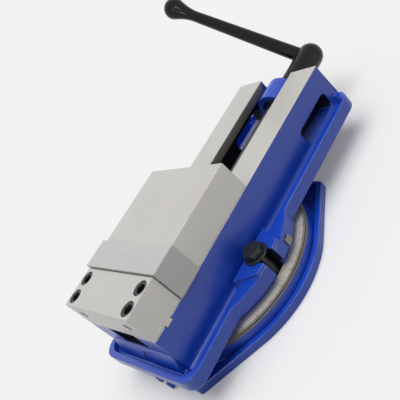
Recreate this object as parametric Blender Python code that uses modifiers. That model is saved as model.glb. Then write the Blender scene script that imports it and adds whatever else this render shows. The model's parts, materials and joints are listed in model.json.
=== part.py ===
"""Precision milling vise on a swivel base, modelled piece by piece.

Metres, +Z up. The origin is where the swivel axis meets the table, and +X runs along the
lead screw towards the crank. The jaws are closed, as they are at rest.
"""
import math

import bmesh
import bpy
from mathutils import Matrix

# Gap kept between pieces that touch
GAP = 0.0003

# Bed width, which the jaws, nut, trough, bolt circle and base are all sized from
BED_WIDTH = 0.144

# Swivel base: a round casting with two tapered ears
EAR_OVERHANG = 0.0255
EAR_HALF_WIDTH = 0.0665
EAR_CORNER = 0.008
BASE_RIM_HEIGHT = 0.011
BASE_RIM_WIDTH = 0.007
BASE_FLOOR = 0.005
DISC_HEIGHT = 0.024
SCALE_BAND = 0.008
BASE_MARGIN = 0.0095
BASE_TURN = math.radians(-4.4)
LEDGE_DROP = 0.003
LEDGE_WIDTH = 0.0012
DISC_DRAFT = 0.0006
BOLT_STANDOFF = 0.021
TSLOT_THROAT = 0.018
TSLOT_WIDTH = 0.030
TSLOT_LIP = 0.008
TSLOT_DEPTH = 0.018
EAR_SLOT_WIDTH = 0.017
EAR_SLOT_DEPTH = 0.026
EAR_BOSS_MARGIN = 0.009
EAR_BOSS_STEP = 0.0008
PIVOT_RADIUS = 0.020
PIVOT_SEAT = 0.012

# Bed casting: two ground rails over a hollow body, with a coolant trough round it
BODY_HEIGHT = 0.072
SLOT_WIDTH = 0.057
RAIL_LIP = 0.012
SIDE_WALL = 0.022
FLOOR_CLEARANCE = 0.004
FRONT_WALL = 0.014
REAR_WALL = 0.011
TUNNEL_HEIGHT = 0.029
GUTTER_WIDTH = 0.020
TROUGH_FRONT = 0.0189
TROUGH_CORNER = 0.019
TROUGH_RIM = 0.008
RIM_HEIGHT = 0.017
TROUGH_FLOOR = 0.008
FLANGE_LIFT = 0.009
FLANK_FILLET = 0.008
HUB_MARGIN = 0.0115
WING_MARGIN = 0.0195
WING_SLOT_WIDTH = 0.018
PAD_HEIGHT = 0.005
PAD_INNER_HALF = 0.036
PAD_OUTER_HALF = 0.023
PAD_OVERHANG = 0.006
PAD_STEP = 0.0008
APRON_REACH = 0.0065
APRON_DROP = 0.018
APRON_MARGIN = 0.008
WINDOW_START = 0.018
WINDOW_LENGTH = 0.066
WINDOW_SILL = 0.006
WINDOW_DROP = 0.028
WINDOW_CORNER = 0.006
DRAIN_WIDTH = 0.008
DRAIN_DEPTH = 0.006
APRON_HOLE_RADIUS = 0.002
APRON_HOLE_DEPTH = 0.008

# Jaws and their hardened plates
JAW_HEIGHT = 0.041
FIXED_JAW_LENGTH = 0.051
MOVING_JAW_LENGTH = 0.108
PLATE_OVERHANG = 0.0042
PLATE_THICKNESS = 0.0186
PLATE_HEIGHT = 0.044
PLATES_MEET = -0.065
EDGE_BREAK = 0.0008
KEY_WIDTH = 0.010
KEY_DEPTH = 0.004
KEY_SETBACK = 0.0197
JAW_SCREW_RADIUS = 0.006
JAW_SCREW_HEAD = 0.009
JAW_SCREW_SINK = 0.0135
JAW_SCREW_REACH = 0.055
JAW_SCREW_MARGIN = 0.01075
JAW_SCREW_FRONT = 0.0127
JAW_SCREW_PITCH = 0.024
SOCKET_SHARE = 0.55
BACK_HOLE_RADIUS = 0.006
BACK_HOLE_DEPTH = 0.016
BACK_HOLE_MARGIN = 0.0215
BACK_HOLE_RISE = 0.0235
PLATE_SCREW_RADIUS = 0.005
PLATE_SCREW_HEAD = 0.008
PLATE_SCREW_SINK = 0.011
PLATE_SCREW_REACH = 0.028
PLATE_SCREW_MARGIN = 0.023
PLATE_SCREW_RISE = 0.0235

# Lead screw, its nut and its thrust parts
SCREW_DROP = 0.0295
SCREW_RADIUS = 0.014
JAW_TRAVEL = 0.150
SCREW_TAIL = 0.014
JOURNAL_RADIUS = 0.011
NECK_RADIUS = 0.0088
HEX_ACROSS = 0.019
HEX_LENGTH = 0.038
COLLAR_RADIUS = 0.019
COLLAR_THICKNESS = 0.006
BEARING_THICKNESS = 0.0055
BEARING_ROOM = 0.001
END_RUNOUT = 0.002
BOSS_RADIUS = 0.0282
BOSS_SETBACK = 0.001
BOSS_WALL = 0.0158
BOSS_LENGTH = 0.034
STOP_RING_RADIUS = 0.0145
STOP_RING_LENGTH = 0.008
NUT_RADIUS = 0.0185
NUT_FRONT = 0.026
NUT_REAR = 0.0045
NUT_WING_CLEARANCE = 0.004
NUT_WING_THICKNESS = 0.010
NUT_WING_LENGTH = 0.060
TONGUE_DEPTH = 0.0085
TONGUE_LENGTH = 0.098

# Angle-lock: hooked nut, half ball and the ledge in the movable jaw
LOCK_X = -0.015
LOCK_RISE = 0.011
BALL_RADIUS = 0.009
LEDGE_CLEARANCE = 0.004
HOOK_HALF_WIDTH = 0.0155
HOOK_THICKNESS = 0.012
HOOK_HALF_LENGTH = 0.0155
POCKET_MARGIN = 0.0015
POCKET_ROOM = 0.004
ADJUSTER_RADIUS = 0.005
ADJUSTER_LENGTH = 0.020

# Swivel clamps
CLAMP_RADIUS = 0.007
CLAMP_HEAD_ACROSS = 0.021
CLAMP_HEAD_HEIGHT = 0.0072
CLAMP_HEAD_TURN = math.radians(10.0)
WASHER_RADIUS = 0.015
WASHER_THICKNESS = 0.0025
TNUT_LENGTH = 0.030
TNUT_COLLAR = 0.006
INDEX_WIDTH = 0.012
INDEX_HEIGHT = 0.011
INDEX_LIFT = 0.001
INDEX_THICKNESS = 0.0015
INDEX_AZIMUTH = math.radians(-74.0)

# Crank
CRANK_RADIUS = 0.0177
CRANK_LENGTH = 0.0768
CRANK_SOCKET = 0.040
ARM_SETBACK = 0.0044
ARM_LENGTH = 0.2121
ARM_ROOT_RADIUS = 0.010
ARM_NECK_RADIUS = 0.0076
GRIP_RADIUS = 0.0154
ARM_ANGLE = math.radians(44.3)

# Facets on round forms
FINE = 72
ROUND = 36
SMALL = 16

# Widths and radii that follow from the bed's width
PLATE_LENGTH = BED_WIDTH + 2 * PLATE_OVERHANG
JAW_SCREW_ACROSS = BED_WIDTH - 2 * JAW_SCREW_MARGIN
BACK_HOLE_ACROSS = BED_WIDTH - 2 * BACK_HOLE_MARGIN
PLATE_SCREW_ACROSS = BED_WIDTH - 2 * PLATE_SCREW_MARGIN
NUT_WING_HALF = BED_WIDTH / 2 - SIDE_WALL - NUT_WING_CLEARANCE
TROUGH_WIDTH = BED_WIDTH + 2 * GUTTER_WIDTH
APRON_HALF_WIDTH = BED_WIDTH / 2 - APRON_MARGIN
BOLT_CIRCLE = BED_WIDTH / 2 + BOLT_STANDOFF
HUB_RADIUS = BOLT_CIRCLE + HUB_MARGIN
WING_RADIUS = BOLT_CIRCLE + WING_MARGIN
DISC_RADIUS = WING_RADIUS + SCALE_BAND
BASE_RADIUS = DISC_RADIUS + BASE_MARGIN
EAR_REACH = BASE_RADIUS + EAR_OVERHANG

# Levels and stations that follow from the sizes above
BODY_BOTTOM = DISC_HEIGHT + GAP
BED_TOP = DISC_HEIGHT + BODY_HEIGHT
FLANGE_BOTTOM = DISC_HEIGHT + FLANGE_LIFT
RIM_TOP = FLANGE_BOTTOM + RIM_HEIGHT
GUTTER = FLANGE_BOTTOM + TROUGH_FLOOR
PAD_TOP = RIM_TOP + PAD_HEIGHT
LIP_BOTTOM = BED_TOP - RAIL_LIP
SCREW_Z = BED_TOP - SCREW_DROP
FLOOR_TOP = SCREW_Z - NUT_RADIUS - FLOOR_CLEARANCE
PIVOT_TOP = BODY_BOTTOM + (FLOOR_TOP - DISC_HEIGHT) / 2
JAW_SEAT = BED_TOP + GAP
FIXED_FACE = PLATES_MEET - PLATE_THICKNESS
BED_FRONT = FIXED_FACE - FIXED_JAW_LENGTH
MOVING_FACE = PLATES_MEET + PLATE_THICKNESS
MOVING_REAR = MOVING_FACE + MOVING_JAW_LENGTH
TROUGH_START = BED_FRONT - TROUGH_FRONT
CAVITY_START = BED_FRONT + FRONT_WALL
NUT_START = -NUT_FRONT
NUT_END = MOVING_REAR + NUT_REAR
COLLAR_START = NUT_END + JAW_TRAVEL + END_RUNOUT
BEARING_START = COLLAR_START + COLLAR_THICKNESS + GAP
BEARING_SEAT = BEARING_START + BEARING_THICKNESS + GAP
BOSS_END = BEARING_SEAT + BOSS_WALL
BOSS_START = BOSS_END - BOSS_LENGTH
BED_REAR = BOSS_END + BOSS_SETBACK
TROUGH_END = BED_REAR - GAP
STOP_RING_START = BOSS_END + GAP
STOP_RING_END = STOP_RING_START + STOP_RING_LENGTH
HEX_END = STOP_RING_END + HEX_LENGTH
CRANK_START = STOP_RING_END + GAP
CRANK_CENTRE = CRANK_START + CRANK_LENGTH - CRANK_RADIUS
TSLOT_FLOOR = DISC_HEIGHT - TSLOT_DEPTH
LOCK_Z = BED_TOP + LOCK_RISE
HEX_CORNER = HEX_ACROSS / math.sqrt(3)

PARTS = "precision_vise"
CUTTERS = "cutters"
SIDES = ("near", "far")
FIXED_JAW_SCREWS = [f"fixed_jaw_screw_{row}_{side}" for row in ("front", "rear") for side in SIDES]
FIXED_PLATE_SCREWS = [f"fixed_jaw_plate_screw_{side}" for side in SIDES]
MOVABLE_PLATE_SCREWS = [f"movable_jaw_plate_screw_{side}" for side in SIDES]
CLAMP_WASHERS = [f"clamp_washer_{side}" for side in SIDES]
CLAMP_T_NUTS = [f"clamp_t_nut_{side}" for side in SIDES]

# name: (colour, roughness, metallic)
FINISHES = {
    "blue_paint": ((0.020, 0.050, 0.400), 0.38, 0.0),
    "ground_steel": ((0.62, 0.61, 0.59), 0.30, 1.0),
    "hardened_steel": ((0.55, 0.54, 0.52), 0.28, 1.0),
    "black_oxide": ((0.025, 0.026, 0.027), 0.42, 0.6),
    "black_satin": ((0.020, 0.020, 0.021), 0.36, 0.0),
    "bearing_steel": ((0.60, 0.60, 0.61), 0.22, 1.0),
}


def empty_scene():
    """Clear the file and make the two collections."""
    for obj in list(bpy.data.objects):
        bpy.data.objects.remove(obj, do_unlink=True)
    for name in (PARTS, CUTTERS):
        collection = bpy.data.collections.get(name) or bpy.data.collections.new(name)
        if name not in bpy.context.scene.collection.children:
            bpy.context.scene.collection.children.link(collection)


def finish(name):
    """A Principled material for one of the finishes."""
    material = bpy.data.materials.get(name)
    if material:
        return material
    colour, roughness, metallic = FINISHES[name]
    material = bpy.data.materials.new(name)
    material.use_nodes = True
    shader = material.node_tree.nodes["Principled BSDF"]
    shader.inputs["Base Color"].default_value = (*colour, 1.0)
    shader.inputs["Roughness"].default_value = roughness
    shader.inputs["Metallic"].default_value = metallic
    material.diffuse_color = (*colour, 1.0)
    return material


def mesh_from(bm):
    """A mesh with welded points and faces that point outwards."""
    bmesh.ops.remove_doubles(bm, verts=bm.verts, dist=1e-6)
    bmesh.ops.recalc_face_normals(bm, faces=bm.faces)
    mesh = bpy.data.meshes.new("form")
    bm.to_mesh(mesh)
    bm.free()
    return mesh


def evaluated(obj):
    """The mesh of a curve or of an object with modifiers, welded. The object is removed."""
    bpy.context.view_layer.update()
    graph = bpy.context.evaluated_depsgraph_get()
    raw = bpy.data.meshes.new_from_object(obj.evaluated_get(graph))
    bpy.data.objects.remove(obj, do_unlink=True)
    bm = bmesh.new()
    bm.from_mesh(raw)
    bpy.data.meshes.remove(raw)
    return mesh_from(bm)


def along(axis):
    """The turn that lays a form made along +Z on another axis."""
    return {
        "Z": Matrix.Identity(4),
        "X": Matrix.Rotation(math.pi / 2, 4, "Y"),
        "Y": Matrix.Rotation(-math.pi / 2, 4, "X"),
    }[axis]


def box(low, high):
    """A box between two corners."""
    bm = bmesh.new()
    bmesh.ops.create_cube(bm, size=1.0)
    for vert in bm.verts:
        for i in range(3):
            vert.co[i] = (low[i] + high[i]) / 2 + vert.co[i] * (high[i] - low[i])
    return mesh_from(bm)


def rod(radius, start, end, axis="Z", at=(0.0, 0.0), sides=ROUND, turn=0.0):
    """A cylinder or prism along an axis; at is its centre on the other two axes."""
    bm = bmesh.new()
    bmesh.ops.create_cone(bm, cap_ends=True, segments=sides, radius1=radius, radius2=radius,
                          depth=end - start)
    middle = (start + end) / 2
    centre = {"Z": (at[0], at[1], middle), "X": (middle, *at), "Y": (at[0], middle, at[1])}[axis]
    place = Matrix.Translation(centre) @ along(axis) @ Matrix.Rotation(turn, 4, "Z")
    bmesh.ops.transform(bm, matrix=place, verts=bm.verts)
    return mesh_from(bm)


def ball(radius, centre):
    """A sphere."""
    bm = bmesh.new()
    bmesh.ops.create_uvsphere(bm, u_segments=ROUND // 2, v_segments=ROUND // 4, radius=radius)
    bmesh.ops.translate(bm, vec=centre, verts=bm.verts)
    return mesh_from(bm)


def plate(outline, low, high, axis="Z"):
    """A flat outline with thickness. It is drawn in XY for Z, in YZ for X and in XZ for Y."""
    curve = bpy.data.curves.new("outline", "CURVE")
    curve.dimensions = "2D"
    curve.fill_mode = "BOTH"
    curve.extrude = (high - low) / 2
    spline = curve.splines.new("POLY")
    spline.points.add(len(outline) - 1)
    for point, (u, v) in zip(spline.points, outline):
        point.co = (u, v, 0.0, 1.0)
    spline.use_cyclic_u = True
    obj = bpy.data.objects.new("outline", curve)
    bpy.context.scene.collection.objects.link(obj)
    mesh = evaluated(obj)
    middle = (low + high) / 2
    upright = Matrix.Rotation(math.pi / 2, 4, "X")
    lay = {
        "Z": Matrix.Translation((0, 0, middle)),
        "X": Matrix.Translation((middle, 0, 0)) @ Matrix.Rotation(math.pi / 2, 4, "Z") @ upright,
        "Y": Matrix.Translation((0, middle, 0)) @ upright,
    }[axis]
    mesh.transform(lay)
    return mesh


def turned(profile, sides=ROUND, closed=False):
    """A profile of (radius, height) points turned about Z with a Screw modifier."""
    mesh = bpy.data.meshes.new("profile")
    count = len(profile)
    edges = [(i, i + 1) for i in range(count - 1)]
    if closed:
        edges.append((count - 1, 0))
    mesh.from_pydata([(r, 0.0, z) for r, z in profile], edges, [])
    obj = bpy.data.objects.new("profile", mesh)
    bpy.context.scene.collection.objects.link(obj)
    screw = obj.modifiers.new("turn", "SCREW")
    screw.steps = screw.render_steps = sides
    screw.use_merge_vertices = True
    screw.merge_threshold = 1e-5
    return evaluated(obj)


def moved(mesh, matrix):
    """The same mesh after a move or a turn."""
    mesh.transform(matrix)
    return mesh


def piece(name, mesh, material):
    """A named sub-part of the vise."""
    mesh.name = name
    obj = bpy.data.objects.new(name, mesh)
    bpy.data.collections[PARTS].objects.link(obj)
    mesh.materials.clear()
    mesh.materials.append(finish(material))
    mesh.shade_smooth()
    mesh.set_sharp_from_angle(angle=math.radians(35))
    return obj


def copies(names, mesh, places, material):
    """One object for each copy of a repeated piece, all on the same mesh."""
    for name, place in zip(names, places):
        piece(name, mesh, material).matrix_world = place


def combine(obj, operation, mesh, label):
    """Join a form to a piece, or cut it away, with an exact Boolean."""
    tool = bpy.data.objects.new(f"{obj.name}_{label}", mesh)
    tool.hide_render = True
    tool.display_type = "WIRE"
    bpy.data.collections[CUTTERS].objects.link(tool)
    modifier = obj.modifiers.new(label, "BOOLEAN")
    modifier.operation = operation
    modifier.object = tool


def join(obj, mesh, label):
    """Add a form to a piece."""
    combine(obj, "UNION", mesh, label)


def cut(obj, mesh, label):
    """Cut a form out of a piece."""
    combine(obj, "DIFFERENCE", mesh, label)


def arc(centre, radius, start, end, steps):
    """Points on an arc, both ends included."""
    return [
        (centre[0] + radius * math.cos(start + (end - start) * i / steps),
         centre[1] + radius * math.sin(start + (end - start) * i / steps))
        for i in range(steps + 1)
    ]


def rounded_rectangle(low, high, corner, steps=6):
    """A rectangle with round corners, counter-clockwise."""
    quarter = math.pi / 2
    centres = (
        ((high[0] - corner, high[1] - corner), 0),
        ((low[0] + corner, high[1] - corner), 1),
        ((low[0] + corner, low[1] + corner), 2),
        ((high[0] - corner, low[1] + corner), 3),
    )
    points = []
    for centre, turn in centres:
        points += arc(centre, corner, turn * quarter, (turn + 1) * quarter, steps)
    return points


def base_outline(inset):
    """The base's plan, moved in by inset: a circle drawn out to two ears with round corners."""
    tangent = math.asin(EAR_HALF_WIDTH / EAR_REACH) + math.acos(BASE_RADIUS / EAR_REACH)
    core = EAR_REACH - EAR_CORNER
    corner = tangent - math.acos((BASE_RADIUS - EAR_CORNER) / core)
    points = []
    for way in (0.0, math.pi):
        for side, start, end in ((-1, -tangent, -corner), (1, corner, tangent)):
            centre = (core * math.cos(way + side * corner), core * math.sin(way + side * corner))
            points += arc(centre, EAR_CORNER - inset, way + start, way + end, 5)
        points += arc((0, 0), BASE_RADIUS - inset, way + tangent, way + math.pi - tangent, FINE // 4)[1:-1]
    return points


def open_slot(width, inner, outer, side, sign, steps=8):
    """A U-slot's plan, open at its outer end. side is the axis that it runs along, X or Y."""
    half = width / 2
    closed_end = arc((inner + half, 0), half, math.pi / 2, 3 * math.pi / 2, steps)
    points = [(outer, half), *closed_end, (outer, -half)]
    if side == "X":
        return [(sign * u, sign * v) for u, v in points]
    return [(-sign * v, sign * u) for u, v in points]


def cap_screw(radius, head_radius, reach):
    """A socket-head cap screw along Z: head above 0, shank below, with its hexagon socket."""
    head = 2 * radius
    profile = [
        (0.0, -reach), (radius, -reach), (radius, 0.0), (head_radius, 0.0),
        (head_radius, head - 0.0008), (head_radius - 0.0008, head), (0.0, head),
    ]
    screw = turned(profile[::-1], SMALL)
    return hollowed(screw, rod(radius * 2 * SOCKET_SHARE, head * 0.4, head * 1.5, sides=6))


def hollowed(mesh, cutter):
    """One mesh cut by another, for forms that are copied afterwards."""
    obj = bpy.data.objects.new("blank", mesh)
    tool = bpy.data.objects.new("socket", cutter)
    for item in (obj, tool):
        bpy.context.scene.collection.objects.link(item)
    modifier = obj.modifiers.new("socket", "BOOLEAN")
    modifier.operation = "DIFFERENCE"
    modifier.object = tool
    result = evaluated(obj)
    bpy.data.objects.remove(tool, do_unlink=True)
    return result


def swivel_base():
    """The base casting, set a few degrees off the bed: rim, gutter, graduated disc, T-slot, ears."""
    base = piece("swivel_base", plate(base_outline(0.0), 0.0, BASE_RIM_HEIGHT), "blue_paint")
    cut(base, plate(base_outline(BASE_RIM_WIDTH), BASE_FLOOR, BASE_RIM_HEIGHT * 2), "gutter")
    ledge = DISC_RADIUS + LEDGE_WIDTH
    disc = [
        (0.0, DISC_HEIGHT), (DISC_RADIUS, DISC_HEIGHT), (DISC_RADIUS, DISC_HEIGHT - LEDGE_DROP),
        (ledge, DISC_HEIGHT - LEDGE_DROP), (ledge + DISC_DRAFT, BASE_FLOOR / 2), (0.0, BASE_FLOOR / 2),
    ]
    join(base, turned(disc, FINE), "disc")
    for end, sign in (("rear", 1), ("front", -1)):
        boss = open_slot(EAR_SLOT_WIDTH + 2 * EAR_BOSS_MARGIN, EAR_REACH - EAR_SLOT_DEPTH - EAR_BOSS_MARGIN,
                         EAR_REACH - BASE_RIM_WIDTH / 2, "X", sign)
        join(base, plate(boss, BASE_FLOOR / 2, BASE_RIM_HEIGHT - EAR_BOSS_STEP), f"{end}_boss")
    half = TSLOT_THROAT / 2
    wide = TSLOT_WIDTH / 2
    lip = DISC_HEIGHT - TSLOT_LIP
    slot = [
        (BOLT_CIRCLE + half, 2 * DISC_HEIGHT), (BOLT_CIRCLE + half, lip), (BOLT_CIRCLE + wide, lip),
        (BOLT_CIRCLE + wide, TSLOT_FLOOR), (BOLT_CIRCLE - wide, TSLOT_FLOOR), (BOLT_CIRCLE - wide, lip),
        (BOLT_CIRCLE - half, lip), (BOLT_CIRCLE - half, 2 * DISC_HEIGHT),
    ]
    cut(base, turned(slot, FINE, closed=True), "t_slot")
    cut(base, rod(PIVOT_RADIUS, DISC_HEIGHT - PIVOT_SEAT, 2 * DISC_HEIGHT), "pivot_seat")
    for end, sign in (("rear", 1), ("front", -1)):
        slot = open_slot(EAR_SLOT_WIDTH, EAR_REACH - EAR_SLOT_DEPTH, 2 * EAR_REACH, "X", sign)
        cut(base, plate(slot, -BASE_FLOOR, 2 * DISC_HEIGHT), f"{end}_slot")
    for form in (base.data, *(modifier.object.data for modifier in base.modifiers)):
        form.transform(Matrix.Rotation(BASE_TURN, 4, "Z"))


def pivot_pin():
    """The centre pin that the bed turns on."""
    pin = PIVOT_RADIUS - GAP
    bottom = DISC_HEIGHT - PIVOT_SEAT + GAP
    piece("pivot_pin", rod(pin, bottom, PIVOT_TOP - GAP), "bearing_steel")


def bed_section():
    """The bed's outline across the vise, with a fillet where each flank meets the gutter."""
    half = BED_WIDTH / 2
    centre = (half + FLANK_FILLET, GUTTER + FLANK_FILLET - GAP / 2)
    fillet = arc(centre, FLANK_FILLET, math.pi, 1.5 * math.pi, 5)
    bottom = (FLANGE_BOTTOM + GUTTER) / 2
    right = [(half, BED_TOP), *fillet, (half + FLANK_FILLET, bottom)]
    return right + [(-y, z) for y, z in reversed(right)]


def pad_outline(sign):
    """The raised pad round a clamp slot: wide at the flank, narrower at the wing's edge."""
    outer = WING_RADIUS - PAD_STEP
    spread = math.asin(PAD_OUTER_HALF / outer)
    middle = sign * math.pi / 2
    inner = sign * (TROUGH_WIDTH / 2 - TROUGH_RIM - PAD_OVERHANG)
    edge = arc((0, 0), outer, middle - spread, middle + spread, 8)
    return [(sign * -PAD_INNER_HALF, inner), (sign * PAD_INNER_HALF, inner), *edge]


def flange(bed):
    """The trough's floor, the round wings and the hub, before the gutter is cut."""
    join(bed, rod(WING_RADIUS, FLANGE_BOTTOM, RIM_TOP, sides=FINE), "wings")
    inner = TROUGH_WIDTH / 2 - TROUGH_RIM
    pocket = rounded_rectangle((TROUGH_START + TROUGH_RIM, -inner), (TROUGH_END - TROUGH_RIM, inner),
                               TROUGH_CORNER - TROUGH_RIM / 2)
    cut(bed, plate(pocket, GUTTER, 2 * RIM_TOP), "gutter")
    join(bed, plate(bed_section(), BED_FRONT, BED_REAR, "X"), "walls")
    join(bed, rod(HUB_RADIUS, BODY_BOTTOM, FLANGE_BOTTOM + TROUGH_FLOOR / 2, sides=FINE), "hub")


def front_apron(bed):
    """The sloping foot of the front wall, with its drilled hole."""
    top = BED_TOP - TUNNEL_HEIGHT
    bottom = GUTTER - TROUGH_FLOOR / 2
    root = BED_FRONT + FRONT_WALL / 2
    toe = BED_FRONT - APRON_REACH
    foot = top - APRON_DROP
    slope = [(root, bottom), (root, top - GAP), (BED_FRONT, top - GAP), (toe, foot), (toe, bottom)]
    join(bed, plate(slope, -APRON_HALF_WIDTH, APRON_HALF_WIDTH, "Y"), "apron")
    hole = rod(APRON_HOLE_RADIUS, top - APRON_DROP - APRON_HOLE_DEPTH, BED_TOP - TUNNEL_HEIGHT,
               at=(BED_FRONT - APRON_REACH * 0.7, 0.0), sides=SMALL)
    cut(bed, hole, "apron_hole")


def rail_hollow(bed):
    """The slot between the rails, the front tunnel and the wider hollow under the rail lips."""
    half = SLOT_WIDTH / 2
    tunnel = BED_TOP - TUNNEL_HEIGHT
    cut(bed, box((BED_FRONT * 2, -half, tunnel), (CAVITY_START + FRONT_WALL, half, BED_TOP * 2)), "tunnel")
    cut(bed, box((CAVITY_START, -half, FLOOR_TOP), (BED_REAR * 2, half, BED_TOP * 2)), "slot")
    wide = BED_WIDTH / 2 - SIDE_WALL
    cut(bed, box((CAVITY_START, -wide, FLOOR_TOP), (BED_REAR - REAR_WALL, wide, LIP_BOTTOM)), "hollow")


def screw_boss(bed):
    """The round boss between the rails, bored out from the front for the thrust bearing."""
    web = SLOT_WIDTH / 2 + REAR_WALL
    inset = REAR_WALL / 4
    web_box = box((BOSS_START + inset, -web, FLOOR_TOP - inset), (BED_REAR - inset, web, SCREW_Z))
    join(bed, web_box, "boss_web")
    join(bed, rod(BOSS_RADIUS, BOSS_START, BOSS_END, "X", (0.0, SCREW_Z)), "boss")
    seat = rod(COLLAR_RADIUS + BEARING_ROOM, BOSS_START / 2, BEARING_SEAT, "X", (0.0, SCREW_Z))
    cut(bed, seat, "bearing_seat")
    cut(bed, rod(JOURNAL_RADIUS + GAP, BOSS_START / 2, BED_REAR * 2, "X", (0.0, SCREW_Z)), "boss_bore")


def side_windows(bed):
    """A window with round lower corners through each flank, near the crank."""
    end = BED_REAR - WINDOW_START
    top = BED_TOP - WINDOW_DROP
    sill = GUTTER + WINDOW_SILL
    corner = min(WINDOW_CORNER, (top - sill) / 3)
    outline = rounded_rectangle((end - WINDOW_LENGTH, sill), (end, top), corner)
    for side, sign in (("near", -1), ("far", 1)):
        reach = sorted((sign * (BED_WIDTH / 2 - SIDE_WALL - GAP), sign * BED_WIDTH))
        cut(bed, plate(outline, *reach, "Y"), f"{side}_window")


def clamp_seats(bed):
    """The raised pads and the open slots that the clamp bolts stand in."""
    for side, sign in (("near", -1), ("far", 1)):
        join(bed, plate(pad_outline(sign), (FLANGE_BOTTOM + GUTTER) / 2, PAD_TOP), f"{side}_pad")
        inner = BOLT_CIRCLE - WING_SLOT_WIDTH / 2
        slot = open_slot(WING_SLOT_WIDTH, inner, 2 * WING_RADIUS, "Y", sign)
        cut(bed, plate(slot, BODY_BOTTOM / 2, 2 * PAD_TOP), f"{side}_clamp_slot")


def bed_holes(bed):
    """The keyway and screw holes under the fixed jaw, the drains and the pivot's bore."""
    low, high = key_span()
    half = BED_WIDTH
    cut(bed, box((low - GAP, -half, BED_TOP - KEY_DEPTH - GAP), (high + GAP, half, 2 * BED_TOP)), "keyway")
    depth = jaw_screw_bottom() - GAP
    for i, (x, y) in enumerate(jaw_screw_places()):
        hole = rod(JAW_SCREW_RADIUS + GAP, depth, 2 * BED_TOP, at=(x, y), sides=SMALL)
        cut(bed, hole, f"jaw_screw_hole_{i}")
    cut(bed, rod(PIVOT_RADIUS, 0.0, PIVOT_TOP), "pivot_bore")
    inner = TROUGH_WIDTH / 2 - TROUGH_RIM
    notch_end = BED_REAR - 2 * TROUGH_RIM
    for side, sign in (("near", -1), ("far", 1)):
        reach = sorted((sign * (inner - TROUGH_RIM / 2), sign * (inner + TROUGH_RIM / 2)))
        low = (notch_end - DRAIN_WIDTH, reach[0], RIM_TOP - DRAIN_DEPTH)
        cut(bed, box(low, (notch_end, reach[1], 2 * RIM_TOP)), f"{side}_notch")


def bed_casting():
    """The bed with its trough, rails, wings and windows."""
    half = TROUGH_WIDTH / 2
    outline = rounded_rectangle((TROUGH_START, -half), (TROUGH_END, half), TROUGH_CORNER)
    bed = piece("bed_casting", plate(outline, FLANGE_BOTTOM, RIM_TOP), "blue_paint")
    flange(bed)
    front_apron(bed)
    rail_hollow(bed)
    screw_boss(bed)
    side_windows(bed)
    clamp_seats(bed)
    bed_holes(bed)


def key_span():
    """Where the fixed jaw's key starts and ends along the bed."""
    start = BED_FRONT + KEY_SETBACK
    return start, start + KEY_WIDTH


def jaw_screw_places():
    """The centres of the four screws that hold the fixed jaw down."""
    first = BED_FRONT + JAW_SCREW_FRONT
    half = JAW_SCREW_ACROSS / 2
    return [(x, y) for x in (first, first + JAW_SCREW_PITCH) for y in (-half, half)]


def jaw_screw_seat():
    """The height that the screw heads sit at in the fixed jaw."""
    return JAW_SEAT + JAW_HEIGHT - JAW_SCREW_SINK


def jaw_screw_bottom():
    """The height of the screws' lower ends."""
    return jaw_screw_seat() - JAW_SCREW_REACH


def plate_screw_places():
    """Where the two screws of each jaw plate sit, across and up."""
    half = PLATE_SCREW_ACROSS / 2
    return [(y, JAW_SEAT + PLATE_SCREW_RISE) for y in (-half, half)]


def fixed_jaw():
    """The fixed jaw block with its cross key and screw holes."""
    half = BED_WIDTH / 2
    low, high = key_span()
    end = FIXED_FACE - GAP
    outline = rounded_rectangle((BED_FRONT, JAW_SEAT), (end, JAW_SEAT + JAW_HEIGHT), EDGE_BREAK, 1)
    jaw = piece("fixed_jaw", plate(outline, -half, half, "Y"), "ground_steel")
    join(jaw, box((low, -half, BED_TOP - KEY_DEPTH), (high, half, BED_TOP + KEY_DEPTH)), "key")
    for i, (x, y) in enumerate(jaw_screw_places()):
        cut(jaw, rod(JAW_SCREW_HEAD + GAP, jaw_screw_seat() - GAP, 1.0, at=(x, y), sides=SMALL), f"sink_{i}")
        cut(jaw, rod(JAW_SCREW_RADIUS + GAP, 0.0, jaw_screw_seat(), at=(x, y), sides=SMALL), f"hole_{i}")
    for i, sign in enumerate((-1, 1)):
        place = (sign * BACK_HOLE_ACROSS / 2, JAW_SEAT + BACK_HOLE_RISE)
        back = rod(BACK_HOLE_RADIUS, 2 * BED_FRONT, BED_FRONT + BACK_HOLE_DEPTH, "X", place, SMALL)
        cut(jaw, back, f"back_hole_{i}")
    plate_screw_holes(jaw, FIXED_FACE, -1)


def plate_screw_holes(jaw, face, sign):
    """The holes in a jaw block for its plate's screws. sign points into the block."""
    for i, place in enumerate(plate_screw_places()):
        depth = PLATE_SCREW_REACH - (PLATE_THICKNESS - PLATE_SCREW_SINK) + 2 * GAP
        reach = sorted((face - sign * PLATE_THICKNESS, face + sign * depth))
        cut(jaw, rod(PLATE_SCREW_RADIUS + GAP, *reach, "X", place, SMALL), f"plate_hole_{i}")


def fixed_jaw_screws():
    """Four cap screws that hold the fixed jaw to the bed."""
    seat = jaw_screw_seat() + GAP
    screw = cap_screw(JAW_SCREW_RADIUS, JAW_SCREW_HEAD, JAW_SCREW_REACH - 2 * GAP)
    places = [Matrix.Translation((x, y, seat)) for x, y in jaw_screw_places()]
    copies(FIXED_JAW_SCREWS, screw, places, "black_oxide")


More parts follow.
